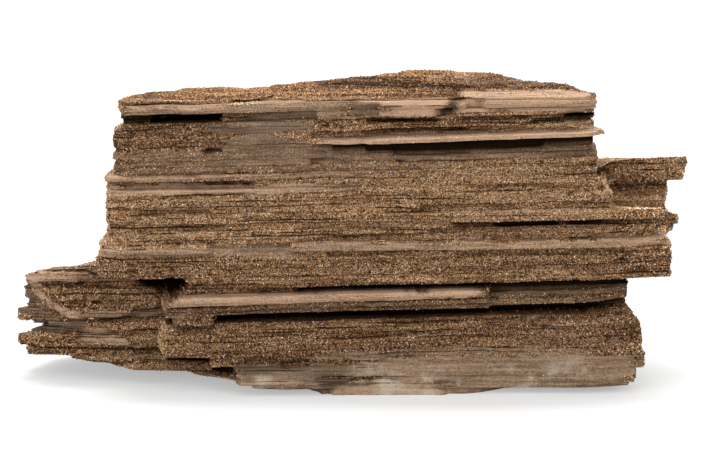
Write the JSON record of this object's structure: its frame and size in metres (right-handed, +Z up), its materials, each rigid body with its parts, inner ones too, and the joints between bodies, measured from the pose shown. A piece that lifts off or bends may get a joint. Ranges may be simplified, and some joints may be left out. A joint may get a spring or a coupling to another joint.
{
  "type": "quartz-covered petrified wood",
  "caption": "Splintered block of petrified wood in flat beds, with ledges, slots and a lobe at each end, its broken faces covered with fine druzy quartz.",
  "frame": {"origin": "middle of the block's bounding box, on the surface that it rests on", "axes": "+X along the grain, towards the high lobe; +Y from the front face to the back; +Z up"},
  "size_m": [0.2038, 0.0654, 0.0942],
  "materials": {
    "petrified_wood": "rough broken stone with a sparkling skin of fine quartz"
  },
  "bodies": {
    "root": {"petrified_wood": "petrified_wood"}
  },
  "joints": []
}
